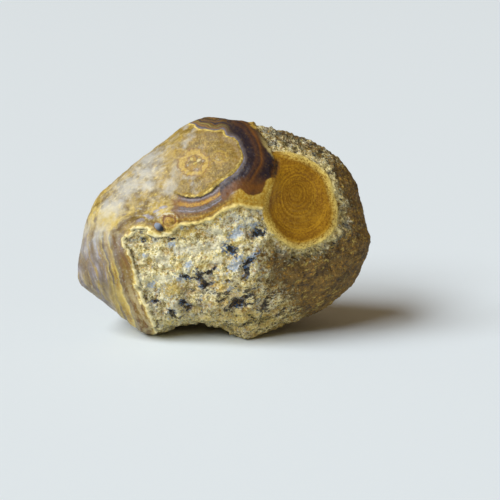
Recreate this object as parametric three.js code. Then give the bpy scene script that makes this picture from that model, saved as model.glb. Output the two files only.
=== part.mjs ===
// A raw desert agate: one worn nodule with a banded shoulder, a large round eye, and a rough pocket where
// the rind has broken away.
//
// Millimetres, +Z up. The origin is on the surface that the stone rests on, under the middle of its box.
// The stone is shaped as its front is seen from a viewpoint a little above it. A direction is given as
// right, up and towards in that view. A place is given as right and up, where it is seen on the upright
// sheet through the stone's heart. Right is +X, and +Y points away from the viewer.
import * as THREE from "three";
import { ImprovedNoise } from "three/addons/math/ImprovedNoise.js";
import { mergeVertices } from "three/addons/utils/BufferGeometryUtils.js";

// Driving dimensions
const HEART = new THREE.Vector3(-0.71, -1.43, 22.1);
const VIEW_TILT_DEG = 12;
const VIEWPOINT = new THREE.Vector3(6.2, -4.5, 263); // right, up and towards, from the heart
const HALF_SIZE = new THREE.Vector3(33, 23, 24);
const FRONT_DEPTH = 23;
const BACK_DEPTH = 22.5;
const FULLNESS = 2.3; // 2 is an ellipse from the girdle to the front, and more is boxier
const EDGE_SHARPNESS = 15; // how tightly the worn faces meet

// The girdle is the belt that the outline runs along. Its values are shares of the way towards the viewer.
const GIRDLE = { at: 0.07, width: 0.42, smooth: 0.2 };
const FRONT_BEGINS = { from: -0.15, to: 0.15 };

// The mesh: how finely it is divided, and how far its corners crowd towards the detailed front.
const MESH_DETAIL = 19;
const FRONT_CROWDING = 6;

// The outline seen from the front, clockwise from the left corner.
const OUTLINE = [
  [-31.7, -11.4], [-31.2, -4], [-29.6, 3.1], [-27.5, 7.4], [-23.2, 11.3], [-18.1, 15.7], [-13, 19.5],
  [-7.9, 23.3], [-3.8, 24.9], [1.3, 24.3], [8, 23.4], [15.5, 21], [24.2, 17.3], [29.1, 11.6], [31.3, 5.6],
  [32.2, 0.4], [33.6, -2.7], [31, -8.5], [26.3, -15], [19.2, -19.4], [11.3, -22.4], [5.1, -23.9],
  [1.9, -22.3], [-5.1, -21.6], [-10.8, -21.5], [-15.5, -22.8], [-20.4, -20.5], [-27, -15.2],
];

// The plainer outline that the back half of the stone takes.
const BACK_OUTLINE = [
  [-31, -10.5], [-29, 3], [-18, 15], [-4, 24.2], [8, 22.8], [23.5, 16.8], [31.5, 1], [29.5, -9], [19, -18.8],
  [4, -22.6], [-9, -21.8], [-21, -19.6],
];

// The worn faces: the way each one looks (right, up, towards) and its distance from the heart.
const WORN_FACES = [
  { name: "shoulder", looks: [-0.44, 0.57, 0.69], distance: 17.6 },
  { name: "pocket front", looks: [-0.28, -0.22, 0.93], distance: 18 },
  { name: "eye side", looks: [0.62, 0.15, 0.77], distance: 20 },
  { name: "lower right", looks: [0.55, -0.55, 0.63], distance: 21.5 },
  { name: "left flank", looks: [-0.85, -0.2, 0.49], distance: 27.5 },
  { name: "crown", looks: [0.4, 0.8, 0.45], distance: 22.8 },
  { name: "back left", looks: [-0.66, 0.14, -0.74], distance: 22 },
  { name: "back right", looks: [0.4, 0.16, -0.9], distance: 20.5 },
  { name: "back crown", looks: [0.05, 0.76, -0.65], distance: 20.5 },
  { name: "back low", looks: [-0.1, -0.62, -0.78], distance: 22.5 },
];

// Where the banded rind ends and the rough pocket begins, from the base up to the crown.
const RIND_EDGE = [
  [-13.5, -32], [-14.6, -22.9], [-15.9, -19.2], [-17.4, -16], [-18.8, -12.6], [-19.4, -8.5], [-20.4, -5.2],
  [-21.4, -2.4], [-20.4, -1.1], [-18.5, 0.2], [-16.3, -0.4], [-13.8, -1.4], [-10.8, -0.6], [-9.1, 0.9],
  [-5.7, 1.2], [-1.8, 2.6], [1.4, 4.6], [3.9, 5.2], [7.8, 4.6], [11, 5], [14, 8], [14, 13], [11.5, 16.8],
  [10.2, 18.6], [9, 20.7], [7.5, 23], [6.6, 25], [5, 34],
];
// The same edge round the back of the stone.
const BACK_RIND_EDGE = [
  [-13.5, -32], [-14.6, -22.9], [-8, -16], [-10, -8], [-4, -1], [-1, 8], [3, 15], [6, 21], [6.6, 25],
  [5, 34],
];
const ROUGH_SIDE = [[60, 34], [60, -32]]; // far corners that close the rough side of the edge
const LEDGE_DROP = 0.9; // how far the rough pocket lies below the rind
const LEDGE_WIDTH = 2.4;

// The large eye on the right: its rim, how far it is dished, and how far the rim stands up.
const EYE_RIM = [
  [11, 17.3], [14.8, 16.9], [19.4, 15.3], [23.2, 12], [24.5, 8], [25.5, 3.6], [24, -0.8], [19.6, -3.4],
  [15.7, -3.7], [11.7, -0.8], [9.2, 2.8], [9.4, 6.2], [11, 11.3], [11.8, 15],
];
const EYE_DISH = 0.5;
const EYE_DISH_SLOPE = 3.5;
const EYE_RIM_HEIGHT = 0.3;
const EYE_RIM_WIDTH = 1.6;
const EYE_EDGE_WIDTH = 1;

// The worn plate of the small eye on the shoulder stands above the dark bands, and runs out to the left.
const PLATE_RIM = [
  [-5.2, 22.6], [0.1, 22.3], [2.9, 20.2], [4.3, 17.2], [4.4, 15], [2.7, 12.9], [-0.3, 10.5], [-3.7, 8],
  [-6.9, 7.2], [-9.9, 7.8], [-16, 9.5], [-14, 19],
];
const PLATE_HEIGHT = 0.55;
const PLATE_EDGE_WIDTH = 2.4;
const PLATE_RUNS_OUT = { from: -8, to: -15 };

// Growth ridges that run down the left flank beside the rind's edge.
const RIDGE_HEIGHT = 0.28;
const RIDGE_SPACING = 3.1;
const RIDGE_REACH = 11;
const FLANK = { from: -10, to: -16 };

// Lumps stand above the surface by their height, and pits, with a negative height, lie below it.
const LUMPS_AND_PITS = [
  { name: "small ringed knob", at: [-11.9, 2], radius: 1.9, height: 0.5 },
  { name: "dark pebble", at: [-14.2, 0.6], radius: 1.1, height: 0.6 },
  { name: "pale lump", at: [-13, -6.5], radius: 3.4, height: 0.7 },
  { name: "ochre lump", at: [-11.4, -13.4], radius: 3, height: 0.7 },
  { name: "ridge lump", at: [3.5, -7], radius: 3.2, height: 0.9 },
  { name: "low lump", at: [-3, -17], radius: 3.2, height: 0.8 },
  { name: "brown lump", at: [13, -8.5], radius: 3.4, height: 0.8 },
  { name: "pit in the pale rock", at: [1.8, -4.5], radius: 1.3, height: -1 },
  { name: "pit by the eye", at: [8.4, -0.6], radius: 1.4, height: -1.1 },
  { name: "long cleft", at: [-4.4, -11.3], radius: 1.8, height: -1.1 },
  { name: "cleft end", at: [-8.4, -10.6], radius: 1.2, height: -0.7 },
  { name: "ledge under the ridge", at: [6.8, -7.4], radius: 1.9, height: -1.2 },
  { name: "low pit", at: [-8.1, -17], radius: 1.6, height: -1 },
  { name: "corner pit", at: [3.4, -16.7], radius: 1.9, height: -0.9 },
];

// Broad unevenness of the whole stone, and the rough grain of the pocket.
const SWELL_HEIGHT = 0.75;
const SWELL_SPACING = 13;
const GRAIN_HEIGHT = 0.55;
const GRAIN_SPACING = 4.2;
const WORN_GRAIN_SHARE = 0.15; // how much of the grain the worn rind still shows
const FINER = { spacing: 0.48, height: 0.5 }; // finer unevenness on top of each kind, as shares of it

// The underside, seen from above: right and away from the heart. A foot drops, and the arch rises.
const FEET = [
  { name: "left foot", at: [-14.6, -5], radius: 4, drop: 1.9 },
  { name: "right foot", at: [4.7, -10.7], radius: 3.4, drop: 1.6 },
  { name: "back foot", at: [3, 10], radius: 6, drop: 3 },
  { name: "arch", at: [-3.3, 0.5], radius: 7, drop: -2.4 },
];

const UNDERSIDE = { from: 11, to: 4.4 }; // the heights between which the feet and the arch take hold

// The colour of the worn rind, for the whole stone.
const STONE_FINISH = { color: 0xa98a4b, roughness: 0.6, metalness: 0 };

const LINE_STEPS = 360;
const FULL_TURN = 2 * Math.PI;
const { clamp, lerp, smoothstep, euclideanModulo } = THREE.MathUtils;
const smooth = (from, to, value) => smoothstep(clamp((value - from) / (to - from), 0, 1), 0, 1);
const bell = (distance, radius) => Math.exp(-((distance / radius) ** 2));

// The axes of the view that the stone is shaped in.
const tilt = THREE.MathUtils.degToRad(VIEW_TILT_DEG);
const RIGHT = new THREE.Vector3(1, 0, 0);
const UP = new THREE.Vector3(0, Math.sin(tilt), Math.cos(tilt));
const TOWARDS = new THREE.Vector3(0, -Math.cos(tilt), Math.sin(tilt));

// A smooth line through a few places, as many short steps.
function lineThrough(places, closed) {
  const points = places.map(([right, up]) => new THREE.Vector3(right, up, 0));
  return new THREE.CatmullRomCurve3(points, closed, "centripetal").getPoints(LINE_STEPS);
}

function middleOf(places) {
  const sum = places.reduce(([r, u], [right, up]) => [r + right, u + up], [0, 0]);
  return sum.map((total) => total / places.length);
}

// A ring about a middle: how far it reaches at an angle, and how far a place lies outside it.
function ring(places, [middleRight, middleUp]) {
  const steps = lineThrough(places, true).map((point) => ({
    angle: Math.atan2(point.y - middleUp, point.x - middleRight),
    reach: Math.hypot(point.x - middleRight, point.y - middleUp),
  }));
  steps.sort((a, b) => a.angle - b.angle);
  const reachAt = (angle) => {
    const next = steps.findIndex((step) => step.angle >= angle);
    const after = steps[Math.max(next, 0)];
    const before = steps.at(next > 0 ? next - 1 : -1);
    const gap = euclideanModulo(after.angle - before.angle, FULL_TURN);
    return lerp(before.reach, after.reach, euclideanModulo(angle - before.angle, FULL_TURN) / gap);
  };
  const outside = (right, up) => {
    const angle = Math.atan2(up - middleUp, right - middleRight);
    return Math.hypot(right - middleRight, up - middleUp) - reachAt(angle);
  };
  return { reachAt, outside };
}

// An open edge: how far a place lies on its rough side, negative on the banded side.
function edge(places) {
  const steps = lineThrough(places, false);
  const corners = [...steps, ...ROUGH_SIDE.map(([right, up]) => new THREE.Vector3(right, up, 0))];
  const piece = new THREE.Line3();
  const nearest = new THREE.Vector3();
  return (right, up) => {
    const place = new THREE.Vector3(right, up, 0);
    let least = Infinity;
    for (let i = 1; i < steps.length; i += 1) {
      piece.set(steps[i - 1], steps[i]).closestPointToPoint(place, true, nearest);
      least = Math.min(least, nearest.distanceTo(place));
    }
    return isInside(corners, place) ? least : -least;
  };
}

// Whether a line to the right of a place crosses the closed line of corners an odd number of times.
function isInside(corners, place) {
  const crossings = corners.filter((a, i) => {
    const b = corners.at(i - 1);
    const spans = a.y > place.y !== b.y > place.y;
    return spans && place.x < a.x + ((b.x - a.x) * (place.y - a.y)) / (b.y - a.y);
  });
  return crossings.length % 2 === 1;
}

const outline = ring(OUTLINE, [0, 0]);
const backOutline = ring(BACK_OUTLINE, [0, 0]);
const eye = ring(EYE_RIM, middleOf(EYE_RIM));
const plate = ring(PLATE_RIM, middleOf(PLATE_RIM));
const frontEdge = edge(RIND_EDGE);
const backEdge = edge(BACK_RIND_EDGE);
const noise = new ImprovedNoise();

// How much of the front a direction belongs to, from 0 behind the girdle to 1 before it.
function frontShareOf(direction) {
  return smooth(FRONT_BEGINS.from, FRONT_BEGINS.to, direction.z);
}

// How far the worn body reaches from the heart: the outline at the girdle, and the worn faces elsewhere.
function bodyReach(direction) {
  const angle = Math.atan2(direction.y, direction.x);
  const outlineReach = lerp(backOutline.reachAt(angle), outline.reachAt(angle), frontShareOf(direction));
  const across = Math.hypot(direction.x, direction.y) / outlineReach;
  const along = Math.abs(direction.z) / (direction.z > 0 ? FRONT_DEPTH : BACK_DEPTH);
  const round = (across ** FULLNESS + along ** FULLNESS) ** (1 / FULLNESS);
  const nearness = WORN_FACES.reduce((sum, face) => {
    const facing = direction.dot(new THREE.Vector3(...face.looks).normalize()) / face.distance;
    return sum + Math.max(facing, 0) ** EDGE_SHARPNESS;
  }, round ** EDGE_SHARPNESS);
  return lerp(nearness ** (-1 / EDGE_SHARPNESS), 1 / round, bell(direction.z - GIRDLE.at, GIRDLE.width));
}

// Where a point of the front is seen on the sheet through the heart.
function seenFromFront(point) {
  const nearer = VIEWPOINT.z / (VIEWPOINT.z - point.z);
  return [lerp(VIEWPOINT.x, point.x, nearer), lerp(VIEWPOINT.y, point.y, nearer)];
}

function unevenness(point, spacing) {
  const at = point.clone().divideScalar(spacing);
  const finer = at.clone().divideScalar(FINER.spacing);
  return noise.noise(at.x, at.y, at.z) + FINER.height * noise.noise(finer.x, finer.y, finer.z);
}

// How far the surface stands above the worn body.
function relief(point, frontShare) {
  const [right, up] = seenFromFront(point);
  const rough = lerp(backEdge(right, up), frontEdge(right, up), frontShare);
  const outsideEye = eye.outside(right, up);
  const eyeShare = frontShare * smooth(EYE_EDGE_WIDTH / 2, -EYE_EDGE_WIDTH / 2, outsideEye);
  const pocketShare = smooth(-LEDGE_WIDTH / 2, LEDGE_WIDTH / 2, rough) * (1 - eyeShare);
  const grainShare = lerp(WORN_GRAIN_SHARE, 1, pocketShare) * (1 - eyeShare);
  const besideEdge = smooth(-RIDGE_REACH, 0, rough) * (1 - pocketShare);
  const flankShare = smooth(FLANK.from, FLANK.to, right) * besideEdge;
  const onPlate = smooth(PLATE_EDGE_WIDTH / 2, -PLATE_EDGE_WIDTH / 2, plate.outside(right, up));
  const plateShare = onPlate * smooth(PLATE_RUNS_OUT.to, PLATE_RUNS_OUT.from, right);
  const lumps = LUMPS_AND_PITS.map(({ at, radius, height }) => {
    return height * bell(Math.hypot(right - at[0], up - at[1]), radius);
  });
  const frontRelief = [
    RIDGE_HEIGHT * flankShare * Math.cos((FULL_TURN * rough) / RIDGE_SPACING),
    EYE_RIM_HEIGHT * bell(outsideEye, EYE_RIM_WIDTH),
    -EYE_DISH * smooth(0, -EYE_DISH_SLOPE, outsideEye),
    PLATE_HEIGHT * plateShare,
    ...lumps,
  ].reduce((sum, height) => sum + height, 0);
  const swell = SWELL_HEIGHT * unevenness(point, SWELL_SPACING);
  const grain = GRAIN_HEIGHT * grainShare * unevenness(point, GRAIN_SPACING);
  return swell + grain - LEDGE_DROP * pocketShare + frontShare * frontRelief;
}

// Sets the underside on its feet, and flattens what would lie below the resting surface.
function settle(point) {
  const underside = smooth(UNDERSIDE.from, UNDERSIDE.to, point.z);
  for (const { at, radius, drop } of FEET) {
    const away = Math.hypot(point.x - HEART.x - at[0], point.y - HEART.y - at[1]);
    point.z -= underside * drop * bell(away, radius);
  }
  point.z = Math.max(point.z, 0);
  return point;
}

function surfacePoint(way) {
  const direction = new THREE.Vector3(way.dot(RIGHT), way.dot(UP), way.dot(TOWARDS));
  const reach = bodyReach(direction);
  const height = relief(direction.clone().multiplyScalar(reach), frontShareOf(direction));
  const girdleShare = bell(direction.z - GIRDLE.at, GIRDLE.smooth);
  return settle(way.clone().multiplyScalar(reach + height * (1 - girdleShare)).add(HEART));
}

function stoneGeometry() {
  const ball = new THREE.IcosahedronGeometry(1, MESH_DETAIL);
  ball.deleteAttribute("normal");
  ball.deleteAttribute("uv");
  const geometry = mergeVertices(ball);
  const position = geometry.getAttribute("position");
  for (let i = 0; i < position.count; i += 1) {
    const corner = new THREE.Vector3().fromBufferAttribute(position, i).multiply(HALF_SIZE);
    const way = corner.addScaledVector(TOWARDS, FRONT_CROWDING).normalize();
    position.setXYZ(i, ...surfacePoint(way));
  }
  geometry.computeVertexNormals();
  return geometry;
}

const agate = new THREE.Mesh(stoneGeometry(), new THREE.MeshStandardMaterial(STONE_FINISH));
agate.name = "agate";

const stone = new THREE.Group();
stone.add(agate);

export default stone;
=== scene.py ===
"""Dresses a raw desert agate: one worn nodule with a banded shoulder, ringed eyes and a rough pocket."""
import math
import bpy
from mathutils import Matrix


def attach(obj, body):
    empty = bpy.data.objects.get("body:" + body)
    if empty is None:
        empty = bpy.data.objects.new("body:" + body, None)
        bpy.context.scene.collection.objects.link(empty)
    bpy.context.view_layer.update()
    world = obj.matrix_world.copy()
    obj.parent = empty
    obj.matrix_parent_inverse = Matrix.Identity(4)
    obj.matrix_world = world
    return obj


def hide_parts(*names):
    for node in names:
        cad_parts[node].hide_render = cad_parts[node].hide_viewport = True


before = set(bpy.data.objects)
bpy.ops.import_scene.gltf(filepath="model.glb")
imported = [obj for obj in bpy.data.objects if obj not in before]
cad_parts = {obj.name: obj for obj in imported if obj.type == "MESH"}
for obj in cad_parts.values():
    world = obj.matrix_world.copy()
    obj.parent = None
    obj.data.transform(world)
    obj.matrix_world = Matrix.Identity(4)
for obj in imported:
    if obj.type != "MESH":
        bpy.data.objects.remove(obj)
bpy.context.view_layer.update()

from types import SimpleNamespace

import bmesh
import bpy
import numpy as np
from bpy.props import FloatProperty, FloatVectorProperty, IntProperty, PointerProperty
from mathutils import Matrix, Vector

bl_info = {
    "name": "Raw Desert Agate",
    "version": (1, 0, 0),
    "blender": (4, 5, 0),
    "location": "View3D > Sidebar > Agate",
    "description": "Builds a raw desert agate with its bands, ringed eyes and rough pocket",
    "category": "Add Mesh",
}

NODE = "agate"
MM = 0.001

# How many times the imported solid's faces are split, and how near two of its points are to be one, in metres.
FINER_LEVELS = 2
WELD = 1e-6

# The floor's reach and the nearest that the camera sees, in metres, and its film's width in millimetres.
# How dull the floor is, how strongly the stone shines, and how deep its finest grit is, in millimetres.
FLOOR_REACH = 200.0
NEAREST_SEEN = 0.01
FILM_WIDTH = 36
FLOOR_ROUGHNESS = 0.8
STONE_SHINE = 0.3
GRIT_DEPTH = 0.5

# Each light: where it comes from, and how many degrees of the sky it fills.
WINDOW = ((-0.62, -0.2, 0.76), 34)
FRONT_LIGHT = ((-0.52, -0.62, 0.59), 24)

# How brown the rough rind is behind, and how fast the plate and the crescent end there.
BROWN_BEHIND = 0.8
ENDS_BEHIND = 0.9

# A depth that is far outside every spot, a squared length that is as good as none, and how many places are
# measured at once.
FAR_OUTSIDE = 9.0
TINY = 1e-12
AT_ONCE = 8000

# The view that the stone's front is described in, in millimetres. A place is right and up of the heart, as
# it is seen from the viewpoint on the upright sheet through the heart.
HEART = np.array([-0.71, -1.43, 22.1])
TILT = math.radians(12)
RIGHT = np.array([1.0, 0.0, 0.0])
UP = np.array([0.0, math.sin(TILT), math.cos(TILT)])
TOWARDS = np.array([0.0, -math.cos(TILT), math.sin(TILT)])
VIEWPOINT = np.array([6.2, -4.5, 263.0])

# Where the banded rind ends and the rough pocket begins, from the base up to the crown, front and back.
RIND_EDGE = [
    (-13.5, -32), (-14.6, -22.9), (-15.9, -19.2), (-17.4, -16), (-18.8, -12.6), (-19.4, -8.5),
    (-20.4, -5.2), (-21.4, -2.4), (-20.4, -1.1), (-18.5, 0.2), (-16.3, -0.4), (-13.8, -1.4), (-10.8, -0.6),
    (-9.1, 0.9), (-5.7, 1.2), (-1.8, 2.6), (1.4, 4.6), (3.9, 5.2), (7.8, 4.6), (11, 5), (14, 8), (14, 13),
    (11.5, 16.8), (10.2, 18.6), (9, 20.7), (7.5, 23), (6.6, 25), (5, 34),
]
BACK_RIND_EDGE = [
    (-13.5, -32), (-14.6, -22.9), (-8, -16), (-10, -8), (-4, -1), (-1, 8), (3, 15), (6, 21), (6.6, 25),
    (5, 34),
]
ROUGH_SIDE = [(60, 34), (60, -32)]

# The large eye's rim, and the places that its smallest and its largest rings are drawn round.
EYE_RIM = [
    (11, 17.3), (14.8, 16.9), (19.4, 15.3), (23.2, 12), (24.5, 8), (25.5, 3.6), (24, -0.8), (19.6, -3.4),
    (15.7, -3.7), (11.7, -0.8), (9.2, 2.8), (9.4, 6.2), (11, 11.3), (11.8, 15),
]
EYE_CORE = (16.4, 8.4)
EYE_MIDDLE = (17.6, 6.4)
EYE_OVAL = (8.2, 10.2)

# The worn plate round the small eye, and the dark crescent that wraps it and ends in a brown lobe.
PLATE_RIM = [
    (-6.9, 23.6), (-5.2, 22.6), (-3.4, 22.4), (-1.3, 22), (0.1, 22.4), (0.8, 21.1), (2.9, 20.2), (4, 18.2),
    (4.6, 16.1), (3.6, 14), (1.7, 12), (-0.3, 10.5), (-2.4, 8.6), (-5.2, 7.4), (-8.4, 7.4), (-10.5, 8.2),
    (-17, 10), (-24, 14), (-16, 24),
]
CRESCENT = [
    (-7.5, 23.9), (-7, 30), (6, 30), (5.9, 24), (7.9, 22.1), (9.4, 20.1), (10.4, 18.2), (11.5, 16.5),
    (12.6, 15), (12.3, 13.2), (11.4, 11.8), (9.9, 10.9), (9.5, 9.6), (8.6, 8.2), (7.2, 7.6), (5.6, 7.8),
    (4.6, 8.5), (4, 9.1), (2.9, 8.6), (1.8, 7.7), (0.4, 6.6), (-0.6, 9), (0, 14), (-2, 20),
]
# The ridge of the pocket, down from the large eye: to its right the pale grains give way to brown rind.
RIDGE = [
    (17, -34), (15, -20), (12.6, -16), (10.2, -12.5), (8.2, -9.5), (7.4, -7), (8.6, -3.6), (10.5, 0),
    (11.5, 4), (8, 17), (5, 34),
]

# Spots: right, up, half length, half width and turn in degrees. The first four kinds lie in the pocket, and
# the whitish bloom, partly painted sheen, and the stains on the rind.
DARK_SPOTS = [
    (1.8, -4.5, 1.5, 0.9, -35), (8.3, -0.6, 1.1, 0.9, 0), (6.2, -7, 1.7, 0.5, 50),
    (5.5, -9.1, 1.3, 0.5, 90), (4.9, -10.9, 0.6, 0.5, 0), (-4.9, -10.8, 1.8, 0.7, -60),
    (-3.5, -12.3, 1.3, 0.5, 10), (-1.8, -8.6, 0.8, 0.4, 70), (-3.3, -9.6, 1, 0.4, 10),
    (-8, -10.4, 1, 0.5, -20), (-8.6, -16.5, 0.8, 0.6, -30), (-7.5, -17.7, 0.8, 0.6, 0),
    (-11.2, -18.2, 0.9, 0.5, 0), (-10.6, -19.2, 1.5, 0.4, -8), (3.6, -16.6, 1.7, 0.8, 12),
    (-17.6, -2.3, 0.5, 0.5, 0), (-11, -2, 0.8, 0.35, 10), (1.2, -11.5, 0.6, 0.4, 0),
    (-15, -16, 0.6, 0.4, 0), (5.8, -17.7, 1.5, 0.4, 6),
]
# The first blue spot, on the lit facet of the pocket's ridge, is partly a painted bluish highlight; the rest
# are blue-grey grains.
BLUE_SPOTS = [
    (6.9, -5.6, 2, 0.7, 46), (3.3, -0.6, 2.2, 0.9, 36), (7.4, 0.8, 1.4, 0.8, 20),
    (-9.1, -11.2, 0.8, 0.6, 0), (1.8, -13.2, 0.8, 0.6, 0), (-17.4, -5.9, 0.6, 0.5, 0),
    (-7.5, -7.6, 0.9, 0.6, 30), (2.8, -8, 2, 1.1, 40), (-11.2, -3.2, 0.9, 0.5, 10),
    (-2.7, -16.8, 0.6, 0.4, 0), (4.2, -6, 0.9, 0.5, 20), (-15.9, -12.3, 1, 0.8, 0),
]
OCHRE_SPOTS = [
    (-11.2, -13.2, 2.3, 1.4, 10), (-9.8, -8.1, 0.9, 0.6, 0), (-0.3, -17.7, 1.1, 0.5, 0),
    (-0.1, -12.7, 0.5, 0.4, 0), (3.2, -3, 1.7, 0.5, 10), (-16.6, -6.8, 0.8, 0.5, 80),
    (-2.2, -12, 1, 0.4, 15), (8.9, -1.5, 1, 0.4, 75), (0.4, -4.8, 0.6, 0.5, 0), (-7.8, -0.5, 1.8, 0.8, 10),
    (-4.4, -8.1, 1.4, 0.5, 5),
]
PALE_SPOTS = [
    (-13.4, -6.6, 1.8, 1.3, 0), (-10.2, -17, 1, 0.9, 0), (-13.1, -11, 1.6, 0.9, 0), (-1.4, -7, 1.6, 0.7, 0),
    (-6, -4.5, 2, 1, 10), (-1.6, -3.6, 2.6, 1.5, 20), (-1.4, -0.4, 2.4, 0.9, 15), (-9.5, -4.2, 1.4, 0.9, 0),
]
BLOOM_AND_SHEEN_SPOTS = [
    (-16.2, 15.6, 2.2, 1.1, 35), (-17.1, 12.9, 2, 1.5, 0), (-11.1, 9.7, 1.7, 1, 30), (-9.4, 12, 1, 0.8, 0),
    (-16.7, 9.9, 1.6, 0.9, 0), (0.2, 18.2, 0.9, 0.7, 0), (-21, 9.5, 2.4, 1.6, 30), (-24.5, 5, 2, 1.6, 40),
    (-4.7, 10.5, 1, 0.6, 0),
]
STAINS = [
    (-18.2, 2.2, 1.1, 0.45, 10), (-16.4, 2.9, 1.2, 0.4, -15), (-14.6, 4.2, 0.9, 0.35, 20),
    (-13.2, 5, 1, 0.35, 10),
]

# The plate's small eyes: right, up, half width and half height. The knob, the pebble and the cleft beside the
# lobe: as the spots.
ROSETTE = (-6.3, 14.8, 3.2, 2.7)
RIGHT_EYELET = (-0.6, 16.2, 1.9, 1.4)
LEFT_EYELET = (-9.3, 16.9, 2.1, 1.1)
KNOB = (-11.8, 2.0, 1.6, 1.3, 0)
PEBBLE = (-14.1, 0.6, 1.35, 0.8, -40)
CLEFT = (11.8, 13.7, 2.4, 1.1, 82)

SPOTS = {
    "dark": DARK_SPOTS,
    "blue": BLUE_SPOTS,
    "ochre": OCHRE_SPOTS,
    "pale": PALE_SPOTS,
    "bloom": BLOOM_AND_SHEEN_SPOTS,
    "stain": STAINS,
    "pebble": [PEBBLE],
    "knob": [KNOB],
    "cleft": [CLEFT],
}

# The ways that the stone's streaks run, as x, y and z.
DOWN_SHOULDER = (-0.75, 0.0, -0.66)
DOWN_PLATE = (0.25, 0.0, -0.97)
DOWN_FLANK = (0.3, 0.0, -0.95)
DOWN_RIDGE = (0.85, 0.0, -0.5)
ALONG_BASE = (0.97, 0.0, 0.22)
ALONG_BROWN = (0.92, 0.0, 0.38)

# Millimetres of rind that the flank's stripes and the crescent's bands are laid out over, and the fine rings'
# waves from the large eye's core to its rim, in radians.
STRIPES_SPAN = 12.0
CRESCENT_SPAN = 7.0
RING_WAVES = 62.0


def linear(code):
    """A colour's linear values from its hexadecimal code."""
    shades = [int(code[i : i + 2], 16) / 255 for i in (1, 3, 5)]
    return tuple(s / 12.92 if s <= 0.04045 else ((s + 0.055) / 1.055) ** 2.4 for s in shades)


def colour(name, description, code):
    words = {"name": name, "description": description}
    return FloatVectorProperty(**words, subtype="COLOR", size=3, min=0, max=1, default=linear(code))


def length(name, description, millimetres):
    words = {"name": name, "description": description}
    kind = {"subtype": "DISTANCE", "unit": "LENGTH", "precision": 5}
    return FloatProperty(**words, **kind, default=millimetres * MM, min=0)


def power(name, description, value):
    return FloatProperty(name=name, description=description, default=value, min=0)


class AgateSizes(bpy.types.PropertyGroup):
    """Sizes of the stone's relief."""

    ledge_drop: length("Ledge drop", "How far the pocket lies below the rind", 0.9)
    ledge_soft: length("Soft ledge", "Width of the ledge on the packed solid", 2.4)
    ledge_sharp: length("Sharp ledge", "Width of the finished ledge", 0.7)
    rim_height: length("Rim height", "Height of the thin rim along the rind's edge", 0.22)
    eye_rim_height: length("Eye rim height", "Height of the thin rim round the large eye", 0.28)
    plate_height: length("Plate height", "How far the plate stands above the dark crescent", 0.55)
    ring_height: length("Ring height", "Height of the fine rings in the large eye", 0.035)
    stripe_height: length("Stripe height", "Height of the growth ridges on the flank", 0.12)
    grain_size: length("Grain size", "Size of the pocket's grains", 1.0)
    grain_height: length("Grain height", "How far the pocket's grains stand up", 0.62)
    pit_depth: length("Pit depth", "Depth of the dark pits in the pocket", 0.5)
    rind_roughness: length("Rind roughness", "Height of the brown rind's unevenness", 0.5)
    seed: IntProperty(name="Seed", description="Changes the grains and the unevenness", default=4, min=0)


class AgateColours(bpy.types.PropertyGroup):
    """Colours of the stone."""

    khaki: colour("Khaki", "Worn plate", "#745C1C")
    tan: colour("Tan", "Worn shoulder", "#B39648")
    bloom: colour("Bloom", "Whitish bloom on the shoulder", "#D0D2CC")
    # Whitish bloom, also used as painted sheen on the upper left of the stone.
    olive: colour("Olive", "Neck between the lobe and the pocket", "#B08826")
    gold: colour("Gold", "Thin rims", "#EBD070")
    amber: colour("Amber", "Orange bands", "#AE7E1E")
    lavender: colour("Lavender", "Thin bluish bands", "#95919F")
    slate: colour("Slate", "Grey-purple bands", "#675D59")
    night: colour("Night", "Darkest part of the crescent", "#2A2128")
    chestnut: colour("Chestnut", "Brown part of the crescent and its lobe", "#774B20")
    honey: colour("Honey", "Lighter rings of the large eye", "#BA8A1E")
    bronze: colour("Bronze", "Darker rings of the large eye", "#815611")
    cream: colour("Cream", "Pocket grains", "#FFF5C4")
    straw: colour("Straw", "Yellow pocket grains", "#E2C968")
    ochre: colour("Ochre", "Ochre pocket grains", "#C08C30")
    mist: colour("Mist", "Blue-grey pocket grains", "#A8BCD2")
    azure: colour("Azure", "Blue edges of the dark spots", "#5E80AA")
    ink: colour("Ink", "Pits and dark grains", "#20252F")
    # Dark olive grains, also painted shade in the pocket's hollows and crevices.
    moss: colour("Moss", "Hollows between the pocket grains", "#5F5630")
    umber: colour("Umber", "Brown rind", "#7E622E")
    # Dark brown specks, also the painted shadow line inside the pocket's edge.
    soil: colour("Soil", "Dark hollows of the brown rind", "#3C2C16")


class AgateStage(bpy.types.PropertyGroup):
    """Camera, floor and light."""

    lens: FloatProperty(
        name="Lens", description="Focal length", default=85, min=10, subtype="DISTANCE_CAMERA"
    )
    floor: colour("Floor", "Plain pale floor", "#E4ECEE")
    window: colour("Window", "Soft light from the left", "#F1F7FF")
    room: colour("Room", "Light from all round", "#FFDCB0")
    window_power: power("Window power", "Strength of the light from the left", 2.5)
    front_power: power("Front power", "Strength of the light from the front left", 1.5)
    room_strength: power("Room strength", "Strength of the light from all round", 0.18)


# Lines and distances


def line_through(places, closed, steps=10):
    """A smooth centripetal line through the places, as many short steps."""
    points = np.array(places, float)
    if closed:
        points = np.vstack([points[-1], points, points[:2]])
    else:
        points = np.vstack([2 * points[0] - points[1], points, 2 * points[-1] - points[-2]])
    line = []
    for a, b, c, d in zip(points, points[1:], points[2:], points[3:]):
        roots = [math.sqrt(np.linalg.norm(q - p)) for p, q in ((a, b), (b, c), (c, d))]
        knots = np.concatenate([[0], np.cumsum(roots)])
        t = np.linspace(knots[1], knots[2], steps, endpoint=False)[:, None]

        def between(p, q, low, high):
            return (p * (knots[high] - t) + q * (t - knots[low])) / (knots[high] - knots[low])

        first = between(between(a, b, 0, 1), between(b, c, 1, 2), 0, 2)
        second = between(between(b, c, 1, 2), between(c, d, 2, 3), 1, 3)
        line.append(between(first, second, 1, 2))
    line = np.vstack(line)
    return np.vstack([line, line[0] if closed else points[-2]])


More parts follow.
